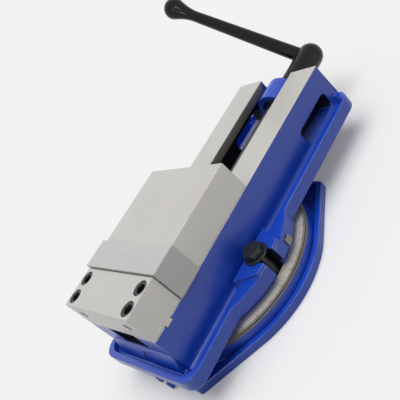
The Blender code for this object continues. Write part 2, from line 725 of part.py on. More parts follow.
def jaw_plate(name, sign):
    """A hardened jaw plate; sign points from its gripping face into its jaw."""
    grip = PLATES_MEET + sign * GAP / 2
    back = PLATES_MEET + sign * (PLATE_THICKNESS - GAP)
    low, high = sorted((grip, back))
    half = PLATE_LENGTH / 2
    top = JAW_SEAT + PLATE_HEIGHT
    outline = rounded_rectangle((-half, JAW_SEAT), (half, top), EDGE_BREAK, 1)
    jaw = piece(name, plate(outline, low, high, "X"), "hardened_steel")
    for i, place in enumerate(plate_screw_places()):
        sink = sorted((PLATES_MEET - sign * PLATE_SCREW_SINK, PLATES_MEET + sign * PLATE_SCREW_SINK))
        through = sorted((PLATES_MEET, PLATES_MEET + sign * 2 * PLATE_THICKNESS))
        cut(jaw, rod(PLATE_SCREW_HEAD + GAP, *sink, "X", place, SMALL), f"sink_{i}")
        cut(jaw, rod(PLATE_SCREW_RADIUS + GAP, *through, "X", place, SMALL), f"hole_{i}")
    seat = PLATES_MEET + sign * (PLATE_SCREW_SINK - GAP)
    lay = Matrix.Rotation(-sign * math.pi / 2, 4, "Y")
    screw = cap_screw(PLATE_SCREW_RADIUS, PLATE_SCREW_HEAD, PLATE_SCREW_REACH - 2 * GAP)
    places = [Matrix.Translation((seat, *place)) @ lay for place in plate_screw_places()]
    copies([f"{name}_screw_{side}" for side in SIDES], screw, places, "black_oxide")


def lock_line(offset):
    """The point on the lock's 45-degree line that lies offset towards the jaw from its centre."""
    step = offset / math.sqrt(2)
    return LOCK_X - step, LOCK_Z - step


def movable_jaw():
    """The movable jaw block: a tongue in the slot and a pocket with the angled ledge."""
    half = BED_WIDTH / 2
    start = MOVING_FACE + GAP
    top = JAW_SEAT + JAW_HEIGHT
    outline = rounded_rectangle((start, JAW_SEAT), (MOVING_REAR, top), EDGE_BREAK, 1)
    jaw = piece("movable_jaw", plate(outline, -half, half, "Y"), "ground_steel")
    tongue = SLOT_WIDTH / 2 - GAP
    join(jaw, box((MOVING_REAR - TONGUE_LENGTH, -tongue, BED_TOP - TONGUE_DEPTH),
                  (MOVING_REAR - EDGE_BREAK, tongue, JAW_SEAT + TONGUE_DEPTH)), "tongue")
    ledge_x, ledge_z = lock_line(LEDGE_CLEARANCE)
    hook = HOOK_HALF_LENGTH / math.sqrt(2)
    inner = LOCK_X + hook - POCKET_MARGIN * 2
    crest = LOCK_Z + hook + POCKET_ROOM
    front = LOCK_X - hook - POCKET_ROOM
    rear = LOCK_X + hook + HOOK_THICKNESS + POCKET_ROOM
    pocket = [
        (inner, 0.0), (inner, ledge_z - (inner - ledge_x)), (front, ledge_z + (ledge_x - front)),
        (front, crest), (rear, crest), (rear, 0.0),
    ]
    width = HOOK_HALF_WIDTH + POCKET_MARGIN
    cut(jaw, plate(pocket, -width, width, "Y"), "pocket")
    cut(jaw, ball(BALL_RADIUS + GAP, (LOCK_X, 0.0, LOCK_Z)), "ball_seat")
    adjuster = rod(ADJUSTER_RADIUS + GAP, rear - POCKET_ROOM, 2 * MOVING_REAR, "X", (0.0, LOCK_Z), SMALL)
    cut(jaw, adjuster, "adjuster_hole")
    plate_screw_holes(jaw, MOVING_FACE, 1)


def screw_nut():
    """The nut casting: tube, wings under the rail lips and the hook of the angle lock."""
    nut = piece("screw_nut", rod(NUT_RADIUS, NUT_START, NUT_END, "X", (0.0, SCREW_Z), ROUND), "blue_paint")
    top = LIP_BOTTOM - GAP * 2
    join(nut, box((NUT_START + GAP, -NUT_WING_HALF, top - NUT_WING_THICKNESS),
                  (NUT_START + NUT_WING_LENGTH, NUT_WING_HALF, top)), "wings")
    hook = HOOK_HALF_LENGTH / math.sqrt(2)
    offset = GAP * math.sqrt(2)
    root = SCREW_Z + NUT_RADIUS / 2
    outline = [
        (LOCK_X + hook + offset, root), (LOCK_X + hook + HOOK_THICKNESS, root),
        (LOCK_X + hook + HOOK_THICKNESS, LOCK_Z + hook), (LOCK_X - hook + offset, LOCK_Z + hook),
        (LOCK_X + hook + offset, LOCK_Z - hook),
    ]
    join(nut, plate(outline, -HOOK_HALF_WIDTH, HOOK_HALF_WIDTH, "Y"), "hook")
    cut(nut, rod(SCREW_RADIUS + GAP, 2 * NUT_START - HOOK_THICKNESS, 2 * NUT_END, "X", (0.0, SCREW_Z), ROUND),
        "bore")


def lock_ball():
    """The half ball of the angle lock: flat to the nut's hook, round in the jaw's ledge."""
    dome = arc((0.0, 0.0), BALL_RADIUS, 0.0, math.pi / 2, 8)
    profile = [(r if i < len(dome) - 1 else 0.0, z) for i, (r, z) in enumerate(dome)]
    profile = profile[::-1] + [(0.0, 0.0)]
    lay = Matrix.Translation((LOCK_X, 0.0, LOCK_Z)) @ Matrix.Rotation(math.radians(-135), 4, "Y")
    piece("lock_ball", moved(turned(profile, ROUND // 2), lay), "hardened_steel")


def jaw_adjuster():
    """The set screw behind the nut's hook, reached from the back of the jaw."""
    start = LOCK_X + HOOK_HALF_LENGTH / math.sqrt(2) + HOOK_THICKNESS + GAP
    blank = rod(ADJUSTER_RADIUS, start, start + ADJUSTER_LENGTH, "X", (0.0, LOCK_Z), SMALL)
    depth = start + ADJUSTER_LENGTH * 0.6
    socket = rod(ADJUSTER_RADIUS * SOCKET_SHARE, depth, start + ADJUSTER_LENGTH * 2, "X", (0.0, LOCK_Z), 6)
    piece("jaw_adjuster", hollowed(blank, socket), "black_oxide")


def lead_screw():
    """The lead screw: threaded length, journal and hexagon end, in one turned bar."""
    start = NUT_START - SCREW_TAIL
    chamfer = SCREW_RADIUS / 6
    bar = [
        (0.0, HEX_END - GAP), (NECK_RADIUS, HEX_END - GAP), (NECK_RADIUS, STOP_RING_START + GAP),
        (JOURNAL_RADIUS, STOP_RING_START + GAP), (JOURNAL_RADIUS, COLLAR_START),
        (SCREW_RADIUS, COLLAR_START - GAP), (SCREW_RADIUS, start + chamfer),
        (SCREW_RADIUS - chamfer, start), (0.0, start),
    ]
    lay = Matrix.Translation((0.0, 0.0, SCREW_Z)) @ along("X")
    screw = piece("lead_screw", moved(turned(bar, ROUND), lay), "ground_steel")
    join(screw, rod(HEX_CORNER, STOP_RING_END, HEX_END, "X", (0.0, SCREW_Z), 6), "hexagon")


def ring(name, outer, inner, start, end, material, sides=ROUND):
    """A ring on the lead screw."""
    profile = [(outer, end), (outer, start), (inner, start), (inner, end)]
    lay = Matrix.Translation((0.0, 0.0, SCREW_Z)) @ along("X")
    return piece(name, moved(turned(profile, sides, closed=True), lay), material)


def thrust_parts():
    """The collar and bearing inside the boss, and the stop ring outside it."""
    journal = JOURNAL_RADIUS + GAP
    ring("thrust_collar", COLLAR_RADIUS, journal, COLLAR_START + GAP, COLLAR_START + COLLAR_THICKNESS,
         "hardened_steel")
    start, end = BEARING_START, BEARING_START + BEARING_THICKNESS
    race = BEARING_THICKNESS * 0.3
    ring("bearing_race_inner", COLLAR_RADIUS, journal, start, start + race - GAP, "bearing_steel")
    ring("bearing_cage", COLLAR_RADIUS - 3 * GAP, journal, start + race, end - race, "bearing_steel")
    ring("bearing_race_outer", COLLAR_RADIUS, journal, end - race + GAP, end, "bearing_steel")
    ring("stop_ring", STOP_RING_RADIUS, NECK_RADIUS + GAP, STOP_RING_START + 2 * GAP, STOP_RING_END - GAP,
         "black_oxide")


def clamp_bolt(name, sign):
    """A hexagon bolt through the wing's slot into its T-nut."""
    head_low = PAD_TOP + 2 * GAP + WASHER_THICKNESS
    head_radius = CLAMP_HEAD_ACROSS / math.sqrt(3)
    head_high = head_low + CLAMP_HEAD_HEIGHT
    at = (0.0, sign * BOLT_CIRCLE)
    head = rod(head_radius, head_low, head_high, at=at, sides=6, turn=CLAMP_HEAD_TURN)
    bolt = piece(name, head, "black_oxide")
    face = CLAMP_HEAD_ACROSS / 2
    slope = (head_radius - face) / 2
    crown = [
        (0.0, head_high + slope), (face * 0.97, head_high + slope), (head_radius * 1.02, head_high - slope),
        (head_radius * 1.02, 0.0), (0.0, 0.0),
    ]
    combine(bolt, "INTERSECT", moved(turned(crown, ROUND), Matrix.Translation((*at, 0.0))), "crown")
    join(bolt, rod(CLAMP_RADIUS, TSLOT_FLOOR + 2 * GAP, head_low + CLAMP_HEAD_HEIGHT / 2, at=at, sides=SMALL),
         "shank")


def clamp_washers():
    """The washers under the two clamp bolts."""
    profile = [(WASHER_RADIUS, PAD_TOP + GAP + WASHER_THICKNESS), (WASHER_RADIUS, PAD_TOP + GAP),
               (CLAMP_RADIUS + GAP, PAD_TOP + GAP), (CLAMP_RADIUS + GAP, PAD_TOP + GAP + WASHER_THICKNESS)]
    places = [Matrix.Translation((0.0, sign * BOLT_CIRCLE, 0.0)) for sign in (-1, 1)]
    washer = turned(profile, ROUND // 2, closed=True)
    copies(CLAMP_WASHERS, washer, places, "black_oxide")


def t_nuts():
    """The two nuts that slide round the circular T-slot under the wings."""
    low = TSLOT_FLOOR + GAP
    shoulder = DISC_HEIGHT - TSLOT_LIP - GAP
    top = shoulder + TNUT_COLLAR
    curve_room = (TNUT_LENGTH / 2) ** 2 / (2 * BOLT_CIRCLE) + 2 * GAP
    half = TSLOT_WIDTH / 2 - curve_room
    neck = TSLOT_THROAT / 2 - curve_room
    outline = [(-half, low), (half, low), (half, shoulder), (neck, shoulder), (neck, top), (-neck, top),
               (-neck, shoulder), (-half, shoulder)]
    blank = plate(outline, -TNUT_LENGTH / 2, TNUT_LENGTH / 2, "X")
    nut = hollowed(blank, rod(CLAMP_RADIUS + GAP, -TSLOT_DEPTH, 2 * DISC_HEIGHT, sides=SMALL))
    places = [Matrix.Translation((0.0, sign * BOLT_CIRCLE, 0.0)) for sign in (-1, 1)]
    copies(CLAMP_T_NUTS, nut, places, "black_oxide")


def index_plate():
    """The small steel pointer plate on the wing's edge, above the graduations."""
    low = FLANGE_BOTTOM + INDEX_LIFT
    start = WING_RADIUS + GAP
    blank = box((start, -INDEX_WIDTH / 2, low),
                (start + INDEX_THICKNESS, INDEX_WIDTH / 2, low + INDEX_HEIGHT))
    piece("index_plate", moved(blank, Matrix.Rotation(INDEX_AZIMUTH, 4, "Z")), "bearing_steel")


def crank_arm():
    """The arm's profile along Z: a taper from the hub to the neck, then the round grip."""
    neck = ARM_LENGTH - 2.2 * GRIP_RADIUS
    join_angle = math.radians(-25)
    grip = arc((0.0, ARM_LENGTH), GRIP_RADIUS, join_angle, math.pi / 2, 9)
    grip[-1] = (0.0, ARM_LENGTH + GRIP_RADIUS)
    shoulder = GRIP_RADIUS * math.cos(join_angle)
    foot = ARM_LENGTH + GRIP_RADIUS * math.sin(join_angle)
    flare = []
    for i in range(5):
        share = i / 5
        radius = ARM_NECK_RADIUS + (shoulder - ARM_NECK_RADIUS) * share ** 1.8
        flare.append((radius, neck + (foot - neck) * share))
    return [(0.0, 0.0), (ARM_ROOT_RADIUS, 0.0), *flare, *grip]


def crank():
    """The crank: a round-ended hub over the hexagon and a tapered arm with a ball grip."""
    dome = arc((0.0, CRANK_CENTRE), CRANK_RADIUS, 0.0, math.pi / 2, 10)
    dome[-1] = (0.0, CRANK_CENTRE + CRANK_RADIUS)
    chamfer = CRANK_RADIUS / 10
    hub = [*dome[::-1], (CRANK_RADIUS, CRANK_START + chamfer), (CRANK_RADIUS - chamfer, CRANK_START),
           (0.0, CRANK_START)]
    lay = Matrix.Translation((0.0, 0.0, SCREW_Z)) @ along("X")
    handle = piece("crank_handle", moved(turned(hub, ROUND), lay), "black_satin")
    lean = Matrix.Rotation(ARM_ANGLE - math.pi / 2, 4, "X")
    point = Matrix.Translation((CRANK_CENTRE - ARM_SETBACK, 0.0, SCREW_Z)) @ lean
    join(handle, moved(turned(crank_arm()[::-1], ROUND // 2), point), "arm")
    socket = rod(HEX_CORNER + 2 * GAP, BED_REAR, CRANK_START + CRANK_SOCKET, "X", (0.0, SCREW_Z), 6)
    cut(handle, socket, "socket")


def moving_frames():
    """An empty on each joint's axis, with the pieces of that body as its children."""
    frames = {
        "swivel": ((0.0, 0.0, DISC_HEIGHT), None, [
            "bed_casting", "fixed_jaw", "fixed_jaw_plate", "bearing_race_inner", "bearing_cage",
            "bearing_race_outer", "index_plate", *FIXED_JAW_SCREWS, *FIXED_PLATE_SCREWS, *CLAMP_WASHERS,
            *CLAMP_T_NUTS]),
        "jaw_slide": ((MOVING_FACE, 0.0, SCREW_Z), "swivel", [
            "movable_jaw", "movable_jaw_plate", "screw_nut", "lock_ball", "jaw_adjuster",
            *MOVABLE_PLATE_SCREWS]),
        "screw_turn": ((COLLAR_START, 0.0, SCREW_Z), "swivel", ["lead_screw", "thrust_collar", "stop_ring"]),
        "crank_pull": ((CRANK_START, 0.0, SCREW_Z), "screw_turn", ["crank_handle"]),
        "near_clamp_turn": ((0.0, -BOLT_CIRCLE, PAD_TOP), "swivel", ["clamp_bolt_near"]),
        "far_clamp_turn": ((0.0, BOLT_CIRCLE, PAD_TOP), "swivel", ["clamp_bolt_far"]),
    }
    empties = {}
    for name, (place, parent, members) in frames.items():
        empty = bpy.data.objects.new(name, None)
        bpy.data.collections[PARTS].objects.link(empty)
        empty.location = place
        bpy.context.view_layer.update()
        hang(empty, empties.get(parent))
        empties[name] = empty
        for member in members:
            hang(bpy.data.objects[member], empty)


def hang(child, parent):
    """Parent an object without moving it."""
    if parent is None:
        return
    bpy.context.view_layer.update()
    place = child.matrix_world.copy()
    child.parent = parent
    child.matrix_parent_inverse = parent.matrix_world.inverted()
    child.matrix_world = place


def build():
    """Make the whole vise."""
    empty_scene()
    swivel_base()
    pivot_pin()
    bed_casting()
    fixed_jaw()
    fixed_jaw_screws()
    jaw_plate("fixed_jaw_plate", -1)
    movable_jaw()
    jaw_plate("movable_jaw_plate", 1)
    screw_nut()
    lock_ball()
    jaw_adjuster()
    lead_screw()
    thrust_parts()
    clamp_bolt("clamp_bolt_near", -1)
    clamp_bolt("clamp_bolt_far", 1)
    clamp_washers()
    t_nuts()
    index_plate()
    crank()
    moving_frames()


build()
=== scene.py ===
"""The looks of the precision vise: enamel castings, ground steel, blackened fasteners."""
import json
import math

import bmesh
import bpy
from mathutils import Matrix, Vector

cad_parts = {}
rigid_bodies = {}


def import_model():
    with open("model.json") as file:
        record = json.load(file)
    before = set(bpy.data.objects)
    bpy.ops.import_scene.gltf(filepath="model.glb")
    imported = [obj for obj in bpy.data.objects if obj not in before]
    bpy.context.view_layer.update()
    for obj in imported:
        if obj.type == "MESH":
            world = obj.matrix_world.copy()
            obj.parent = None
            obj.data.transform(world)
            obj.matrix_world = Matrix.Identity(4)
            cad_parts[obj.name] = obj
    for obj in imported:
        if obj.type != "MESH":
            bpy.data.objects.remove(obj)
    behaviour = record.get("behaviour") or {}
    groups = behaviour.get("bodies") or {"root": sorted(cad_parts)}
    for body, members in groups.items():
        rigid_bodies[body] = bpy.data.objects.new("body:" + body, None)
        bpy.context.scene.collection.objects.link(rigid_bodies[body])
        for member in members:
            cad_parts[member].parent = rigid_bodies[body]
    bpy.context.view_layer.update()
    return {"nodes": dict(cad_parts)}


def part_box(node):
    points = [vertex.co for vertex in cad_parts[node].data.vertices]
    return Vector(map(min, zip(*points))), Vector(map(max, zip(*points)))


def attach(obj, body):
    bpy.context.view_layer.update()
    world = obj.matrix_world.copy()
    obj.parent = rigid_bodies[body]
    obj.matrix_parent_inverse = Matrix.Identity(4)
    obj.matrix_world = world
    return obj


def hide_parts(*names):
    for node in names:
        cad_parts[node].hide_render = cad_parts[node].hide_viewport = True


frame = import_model()
NODES = frame["nodes"]


def middle(node):
    """The middle of a node's box."""
    low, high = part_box(node)
    return (low + high) / 2


# Places that the solids' boxes give, in metres
BED_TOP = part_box("bed_casting")[1].z
BED_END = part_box("bed_casting")[1].x
BED_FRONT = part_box("fixed_jaw")[0].x
BED_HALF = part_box("fixed_jaw")[1].y
DISC_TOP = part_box("swivel_base")[1].z
PLATES_MEET = (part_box("fixed_jaw_plate")[1].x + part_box("movable_jaw_plate")[0].x) / 2

# Levels and stations inside the castings
LIP_BOTTOM = 0.084
PAD_TOP = 0.055
CAVITY_FLOOR = 0.044
SLOT_HALF = 0.0285
BOSS_START = 0.212
WEB_HALF = 0.0395
CLAMP_SLOT_HALF = 0.009
RIM_TOP = 0.050
RIM_INSIDE = 0.083
SILL = 0.047
APRON_HOLE = (-0.13915, 0.0020)
DISC_RADIUS = 0.1205
LEDGE_WIDTH = 0.002
LEDGE_DROP = 0.0036
BASE_TURN = math.radians(-4.4)
INDEX_AZIMUTH = math.radians(-74.0)
INDEX_SHRINK = (0.80, 0.82)

# Roundings left by the casting and by the grinder, and the crank's forged skin
CAST_EDGE = 0.0011
MACHINED_EDGE = 0.0006
GROUND_EDGE = 0.0004
GRIP_EDGE = 0.00006
EDGE_SEGMENTS = 2
EDGE_ANGLE = math.radians(32.0)
SMOOTH_ANGLE = math.radians(40.0)
TURNED_ANGLE = math.radians(30.0)
FLAT_WEIGHT = 90
FORGED_GRAIN = 0.0009

# How far a corner or a face may be from a level and still belong to it
TOUCHING = 0.0002
CLOSE = 0.0005
INSIDE = 0.001
WELL_INSIDE = 0.0015

# How squarely a face looks along an axis, from 0 to 1
LEANING = 0.3
HALFWAY = 0.5
SQUARE = 0.7

# Distances and the angle under which a copied mesh is merged and its flat faces made whole
WELD = 1e-5
RIM_WELD = 2e-5
THREAD_WELD = 2e-6
SLIVER = 1e-6
FLAT_ANGLE = math.radians(0.6)

# Lead screw: a left-hand trapezoidal thread. Its root, flanks and crest begin at these shares of a turn
SCREW_Z = 0.0665
SCREW_TIP = -0.040
COLLAR_START = 0.2181
SCREW_RADIUS = 0.014
ROOT_RADIUS = 0.0115
PITCH = 0.005
THREAD_SHARES = (0.0, 0.32, 0.46, 0.86, 1.0)
THREAD_RADII = (ROOT_RADIUS, ROOT_RADIUS, SCREW_RADIUS, SCREW_RADIUS, ROOT_RADIUS)
THREAD_END = COLLAR_START - 0.0003
TURN_STEPS = 28

# Swivel scale: a mark for each degree, a figure for each ten, from 0 to 90 and back
MARKS = 360
MIDDLE_EVERY = 5.0
LONG_EVERY = 10.0
MARK_START = 0.1134
SHORT_MARK = 0.0016
MIDDLE_MARK = 0.0024
LONG_MARK = 0.0032
MARK_WIDTH = 0.00035
WIDE_MARK = 0.0006
MARK_DEPTH = 0.0001
FIGURES = range(0, 100, 10)
QUARTER_TURN = 90
FIGURE_RADIUS = 0.1197
FIGURE_SIZE = 0.0032

# Socket-head screws: shank radius, head radius and reach of each kind. A head is as high as its shank is wide
JAW_SCREW = (0.006, 0.009, 0.040)
PLATE_SCREW = (0.005, 0.008, 0.018)

# Their rows, from the boxes of the first and the last screw of each
JAW_SCREW_FIRST = middle("fixed_jaw_screw_front_near")
JAW_SCREW_LAST = middle("fixed_jaw_screw_rear_far")
JAW_SCREW_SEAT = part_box("fixed_jaw_screw_front_near")[1].z - 2 * JAW_SCREW[0]
PLATE_SCREW_FIRST = middle("fixed_jaw_plate_screw_near")
PLATE_SCREW_LAST = middle("fixed_jaw_plate_screw_far")
PLATE_SCREW_SINK = PLATES_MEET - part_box("fixed_jaw_plate_screw_near")[1].x + 2 * PLATE_SCREW[0]

# Their shape, in metres where it is a length or a depth, else as a share of a radius or of the head's height
POINT_LENGTH = 0.001
POINT_RADIUS = 0.80
SEAT_STEP = 0.0001
KNURLS = 36
KNURL_RADIUS = 0.985
KNURL_DEPTH = 0.012
KNURL_START = 0.0006
KNURL_END = 0.80
KNURL_FADE = 0.86
CROWN_DROP = 0.0002
CROWN_RADIUS = 0.93
FACE_RADIUS = 0.90
HEX_SIDES = 6
HEX_RADIUS = 1.02
HEX_FLOOR = 0.42
MOUTH_SIDES = 24
MOUTH_DEPTH = 0.0008
MOUTH_SHARES = (0.9, 1.35)

# Finishes: the dark and the light shade of each
BLUE_SHADES = ((0.003, 0.044, 0.37), (0.006, 0.061, 0.49))
STEEL_SHADES = ((0.46, 0.44, 0.41), (0.585, 0.575, 0.555))
# Painted shade: the slot walls' steel, darker than the rails'
SLOT_SHADES = ((0.16, 0.155, 0.15), (0.26, 0.25, 0.24))
PLATE_SHADES = ((0.43, 0.425, 0.415), (0.49, 0.485, 0.475))
TURNED_SHADES = ((0.16, 0.155, 0.15), (0.30, 0.29, 0.28))
# The lead screw's steel, darker than the ground steel
SCREW_SHADES = ((0.07, 0.068, 0.065), (0.20, 0.195, 0.19))
RING_SHADES = ((0.54, 0.505, 0.44), (0.76, 0.715, 0.63))
RING_OIL_SHADES = ((0.14, 0.125, 0.10), (0.26, 0.24, 0.20))
INDEX_SHADES = ((0.17, 0.155, 0.14), (0.32, 0.30, 0.27))
INDEX_INK = (0.02, 0.02, 0.02)
OXIDE_SHADES = ((0.020, 0.022, 0.024), (0.055, 0.058, 0.062))
CRANK_SHADES = ((0.002, 0.002, 0.002), (0.006, 0.006, 0.006))
INK_SHADES = ((0.010, 0.010, 0.010), (0.020, 0.020, 0.020))
# The groove's wall: oil-brown, darkened further as painted shade
GROOVE_OIL_AND_SHADE_COLOURS = ((0.030, 0.028, 0.022), (0.070, 0.066, 0.055))
# Painted shade: a dark navy for the bed's hollows, the apron's hole and the clamp slots
CAVITY_SHADE_COLOURS = ((0.002, 0.003, 0.010), (0.004, 0.007, 0.026))

# Finishes: the scale and the share of their lines, clouds, swells and pores
STEEL_ROUGHNESS = 0.28
STEEL_SPREAD = 0.06
GRAIN_SCALE = 900.0
GRAIN_STRETCH = 0.03
CLOUD_SCALE = 14.0
TOOL_LINES = 2600.0
RING_LINES = 0.35
CAST_GRAIN = 0.35
CAST_SWELL = 1.8
PORES = 5
FINE_BUMP = 0.0002
CAST_BUMP = 0.0006
RING_CLEAN = 0.1155
RING_OILED = 0.1200
INDEX_LINE = 0.0002

# Which material a face of a casting has: enamel, ground steel, a dark index that holds painted shade (in the
# bed's hollows; on the base, the groove's oil and painted shade), and steel with painted shade on the slot
# walls
PAINTED, MACHINED, DARK, SHADED_WALL = range(4)

# Floor, sky and lamps: an overcast sun, a pale wall that the steel mirrors, softboxes for glints alone
FLOOR_SIZE = 60.0
FLOOR_SEEN = (0.66, 0.66, 0.66)
FLOOR_BOUNCE = (0.36, 0.35, 0.34)
FLOOR_GLOW = (0.16, 0.16, 0.16)
NO_GLOW = (0.0, 0.0, 0.0)
SKY = 0.38
SKY_SEEN = 0.87
WHITE = (1.0, 1.0, 1.0, 1.0)
SUN_FROM = (0.05, -0.05, 1.0)
SUN_ANGLE = math.radians(60)
SUN_POWER = 2.3
WALL_PLACE = (2.4, 5.0, 3.2)
WALL_SIZE = 6.4
WALL_POWER = 17.0
GLINT_DISTANCE = 1.8

# Each small lamp: azimuth and elevation in degrees, width and height in metres, power
GLINT_LAMPS = (
    (-66.0, 9.0, 0.75, 0.40, 9.0),
    (-150.0, 28.0, 0.26, 0.26, 6.0),
    (-94.0, 36.0, 0.20, 0.20, 4.0),
)

# The photograph's view
SENSOR = 36.0
LENS = 55.87
VIEW_FROM = (-0.22431, -0.60023, 0.42568)
VIEW_TURN = (0.9341127, 0.7196977, -0.8740565)


class Val:
    """A socket that Python's operators work on, one Math node for each."""

    def __init__(self, board, socket):
        self.board = board
        self.socket = socket

    def _math(self, operation, *others):
        """A Math node on this value and others."""
        return self.board.node("ShaderNodeMath", {"operation": operation}, self, *others)[0]

    def __add__(self, other):
        return self._math("ADD", other)

    __radd__ = __add__

    def __sub__(self, other):
        return self._math("SUBTRACT", other)

    def __rsub__(self, other):
        return self * -1.0 + other

    def __mul__(self, other):
        return self._math("MULTIPLY", other)

    __rmul__ = __mul__

    def __mod__(self, other):
        return self._math("FLOORED_MODULO", other)

    def __gt__(self, other):
        return self._math("GREATER_THAN", other)

    def __lt__(self, other):
        return self._math("LESS_THAN", other)

    def power(self, other):
        """This value to a power."""
        return self._math("POWER", other)

    def cosine(self):
        """The cosine of this angle."""
        return self._math("COSINE")

    def sine(self):
        """The sine of this angle."""
        return self._math("SINE")


class Board:
    """A node tree and the short way to put nodes into it."""

    def __init__(self, tree):
        self.tree = tree

    def node(self, kind, settings, *inputs, **named):
        """A node of a kind; settings first, then its inputs in order or by name."""
        node = self.tree.nodes.new(kind)
        for key, value in settings.items():
            setattr(node, key, value)
        for key, value in enumerate(inputs):
            self.feed(node.inputs[key], value)
        for key, value in named.items():
            self.feed(node.inputs[key.replace("_", " ")], value)
        return [Val(self, output) for output in node.outputs]

    def feed(self, socket, value):
        """Link a value that varies or a list of them, or set one that doesn't."""
        if isinstance(value, list):
            for item in value:
                self.feed(socket, item)
        elif isinstance(value, Val):
            self.tree.links.new(value.socket, socket)
        elif value is not None:
            socket.default_value = value

    def seen_straight(self):
        """1 for what the camera, a reflection or a clear surface shows, 0 for what lights the object."""
        path = self.tree.nodes.new("ShaderNodeLightPath").outputs
        rays = [Val(self, path[f"Is {ray} Ray"]) for ray in ("Camera", "Glossy", "Transmission")]
        return rays[0] + rays[1] + rays[2]


class Shapes(Board):
    """A Geometry Nodes tree. Its inputs are named when it is made; run() puts values in and gives a mesh."""

    def __init__(self, name, **inputs):
        super().__init__(bpy.data.node_groups.new(name, "GeometryNodeTree"))
        self.tree.interface.new_socket("Geometry", in_out="OUTPUT", socket_type="NodeSocketGeometry")
        self.ids = {}
        for key, kind in inputs.items():
            item = self.tree.interface.new_socket(key, in_out="INPUT", socket_type=f"NodeSocket{kind}")
            self.ids[key] = item.identifier
        group = self.node("NodeGroupInput", {})
        self.given = dict(zip(inputs, group))

    def out(self, geometry):
        """Realize the instances, give them the material and end the tree."""
        real = self.node("GeometryNodeRealizeInstances", {}, geometry)[0]
        done = self.node("GeometryNodeSetMaterial", {}, real, Material=self.given["Material"])[0]
        self.node("NodeGroupOutput", {}, done)
        return self

    def run(self, **values):
        """The tree's geometry for these values, as a plain mesh."""
        obj = added("shapes", bpy.data.meshes.new("shapes"))
        modifier = obj.modifiers.new("shapes", "NODES")
        modifier.node_group = self.tree
        for key, value in values.items():
            modifier[self.ids[key]] = value
        return plain(obj)


class Paint(Board):
    """A material's nodes."""

    def __init__(self, name):
        self.material = bpy.data.materials.new(name)
        self.material.use_nodes = True
        super().__init__(self.material.node_tree)
        self.shader = self.tree.nodes["Principled BSDF"]

    def place(self):
        """Object coordinates."""
        return self.node("ShaderNodeTexCoord", {})[3]

    def turned(self, angle):
        """The three Object coordinates as numbers, on axes turned about Z by an angle."""
        mapped = self.node("ShaderNodeMapping", {}, self.place(), Rotation=(0.0, 0.0, -angle))[0]
        return self.node("ShaderNodeSeparateXYZ", {}, mapped)

    def noise(self, scale, detail=3.0, roughness=0.5, stretch=(1.0, 1.0, 1.0)):
        """Noise from 0 to 1 in Object coordinates, drawn out by stretch."""
        where = self.node("ShaderNodeMapping", {}, self.place(), Scale=stretch)[0]
        return self.node("ShaderNodeTexNoise", {}, Vector=where, Scale=scale, Detail=detail,
                         Roughness=roughness)[0]

    def spread(self, value, low, high):
        """A value's stretch from low to high drawn out to 0 to 1."""
        return self.node("ShaderNodeMapRange", {"interpolation_type": "SMOOTHSTEP"}, value, low, high)[0]

    def blend(self, share, first, second):
        """A colour between two."""
        mix = self.tree.nodes.new("ShaderNodeMix")
        mix.data_type = "RGBA"
        self.feed(mix.inputs[0], share)
        for socket, colour in ((mix.inputs[6], first), (mix.inputs[7], second)):
            self.feed(socket, colour if isinstance(colour, Val) else (*colour, 1.0))
        return Val(self, mix.outputs[2])

    def bump(self, height, strength, distance=FINE_BUMP):
        """A Bump node's normal."""
        return self.node("ShaderNodeBump", {}, Strength=strength, Distance=distance, Height=height)[0]

    def finish(self, **sockets):
        """Set the Principled shader's sockets and give back the material."""
        for key, value in sockets.items():
            self.feed(self.shader.inputs[key.replace("_", " ")], value)
        return self.material


def varied(texture, least, spread):
    """A value that a texture raises from its least by up to its spread."""
    return texture * spread + least


def enamel():
    """Blue gloss enamel over a sand casting."""
    paint = Paint("blue_enamel")
    cast = paint.noise(scale=240.0, roughness=0.6)
    swell = paint.noise(scale=45.0, detail=2.0)
    patches = paint.noise(scale=16.0)
    normal = paint.bump(cast * CAST_GRAIN + swell * CAST_SWELL, strength=0.15, distance=CAST_BUMP)
    return paint.finish(Base_Color=paint.blend(patches, *BLUE_SHADES), Normal=normal, Specular_IOR_Level=0.7,
                        Roughness=varied(cast, least=0.28, spread=0.04))


def ground(name, shades, along, roughness=STEEL_ROUGHNESS, metal=0.5, contrast=0.5):
    """Ground steel: fine lines along one axis under faint clouds. contrast is the lines' share."""
    paint = Paint(name)
    stretch = tuple(GRAIN_STRETCH if axis == along else 1.0 for axis in range(3))
    grain = paint.noise(scale=GRAIN_SCALE, roughness=0.7, stretch=stretch)
    cloud = paint.noise(scale=CLOUD_SCALE)
    colour = paint.blend(grain * contrast + cloud * (1.0 - contrast), *shades)
    rough = grain * STEEL_SPREAD + cloud * STEEL_SPREAD + roughness
    return paint.finish(Base_Color=colour, Roughness=rough, Metallic=metal,
                        Normal=paint.bump(grain, strength=0.05))


def turned_ring():
    """The scale ring: concentric tool lines round the swivel axis, and an oily film at its edge."""
    paint = Paint("turned_scale_ring")
    x, y, _ = paint.node("ShaderNodeSeparateXYZ", {}, paint.place())
    radius = (x * x + y * y).power(0.5)
    line = paint.node("ShaderNodeCombineXYZ", {}, radius)[0]
    rings = paint.node("ShaderNodeTexNoise", {}, Vector=line, Scale=TOOL_LINES, Detail=2.0)[0]
    film = paint.noise(scale=60.0, detail=4.0, roughness=0.6)
    clean = paint.blend(rings * RING_LINES + film * (1.0 - RING_LINES), *RING_SHADES)
    oiled = paint.blend(film, *RING_OIL_SHADES)
    colour = paint.blend(paint.spread(radius, RING_CLEAN, RING_OILED), clean, oiled)
    return paint.finish(Base_Color=colour, Roughness=varied(film, least=0.42, spread=0.16), Metallic=0.12,
                        Normal=paint.bump(rings, strength=0.15))


